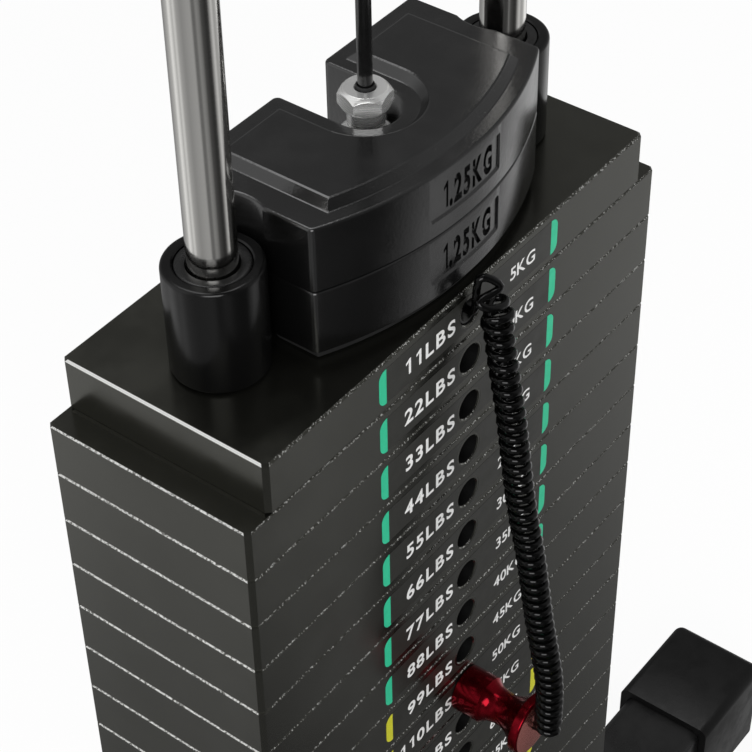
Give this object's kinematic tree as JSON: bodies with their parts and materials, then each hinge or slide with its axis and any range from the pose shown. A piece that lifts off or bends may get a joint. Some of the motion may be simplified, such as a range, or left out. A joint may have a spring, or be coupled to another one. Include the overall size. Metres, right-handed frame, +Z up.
{
  "type": "cable station weight stack",
  "caption": "Selectorised weight stack: dark plates on two chrome guide rods, slotted add-on weights, lifting cable, and a red-knobbed pin on a coiled black lanyard.",
  "frame": {"origin": "on the floor, at the underside of the foot beam, midway between the guide rods", "axes": "+Z up along the guide rods, +X along the plates' long side and the foot beam, -Y to the front, where the selector pin goes in"},
  "size_m": [0.748, 0.1526, 1.795],
  "materials": {
    "grey_paint": "dark grey satin paint on steel",
    "black_paint": "black satin powder coat",
    "black_casting": "black semi-gloss paint on a casting",
    "black_rubber": "matt black rubber",
    "black_plastic": "smooth black plastic",
    "chrome": "polished chrome",
    "steel": "bright zinc-plated steel",
    "red_anodised": "deep red anodised, glossy",
    "black_cord": "glossy black cord cover"
  },
  "bodies": {
    "stand": {"foot_beam": "black_paint", "foot_cap_left": "black_plastic", "foot_cap_right": "black_plastic", "rod_seat_left": "black_paint", "rod_seat_right": "black_paint", "seat_screw_left_outer": "steel", "seat_screw_left_inner": "steel", "seat_screw_right_outer": "steel", "seat_screw_right_inner": "steel", "stack_buffer_left": "black_rubber", "stack_buffer_right": "black_rubber", "guide_rod_left": "chrome", "guide_rod_right": "chrome", "top_yoke": "black_paint", "rod_screw_left": "steel", "rod_screw_right": "steel", "cable_guide": "black_plastic", "weight_plate_10": "grey_paint", "weight_plate_11": "grey_paint", "weight_plate_12": "grey_paint", "weight_plate_13": "grey_paint", "weight_plate_14": "grey_paint", "weight_plate_15": "grey_paint", "weight_plate_16": "grey_paint", "weight_plate_17": "grey_paint", "weight_plate_18": "grey_paint", "weight_plate_19": "grey_paint"},
    "lifted_stack": {"head_plate": "grey_paint", "weight_plate_01": "grey_paint", "weight_plate_02": "grey_paint", "weight_plate_03": "grey_paint", "weight_plate_04": "grey_paint", "weight_plate_05": "grey_paint", "weight_plate_06": "grey_paint", "weight_plate_07": "grey_paint", "weight_plate_08": "grey_paint", "weight_plate_09": "grey_paint", "collar_left": "black_paint", "collar_right": "black_paint", "rod_bush_left": "black_plastic", "rod_bush_right": "black_plastic", "selector_stem": "steel", "stem_ring": "steel", "lock_nut": "chrome", "cable_bolt": "chrome", "cable_sleeve": "black_rubber", "lift_cable": "black_cord", "cable_terminal": "steel", "lanyard_ferrule": "chrome", "addon_pad": "black_rubber"},
    "selector_pin": {"pin_shaft": "steel", "pin_knob": "red_anodised", "lanyard": "black_cord"},
    "lower_addon": {"addon_weight_lower": "black_casting"},
    "upper_addon": {"addon_weight_upper": "black_casting"}
  },
  "joints": [
    {"name": "stack_lift", "type": "slide", "parent": "stand", "child": "lifted_stack", "axis": [0, 0, 1], "range_m": [0, 0.85]},
    {"name": "pin_pull", "type": "slide", "parent": "lifted_stack", "child": "selector_pin", "axis": [0, -1, 0], "range_m": [0, 0.1]},
    {"name": "lower_addon_lift", "type": "slide", "parent": "lifted_stack", "child": "lower_addon", "axis": [0, 0, 1], "range_m": [0, 0.06]},
    {"name": "upper_addon_lift", "type": "slide", "parent": "lower_addon", "child": "upper_addon", "axis": [0, 0, 1], "range_m": [0, 0.06]}
  ]
}
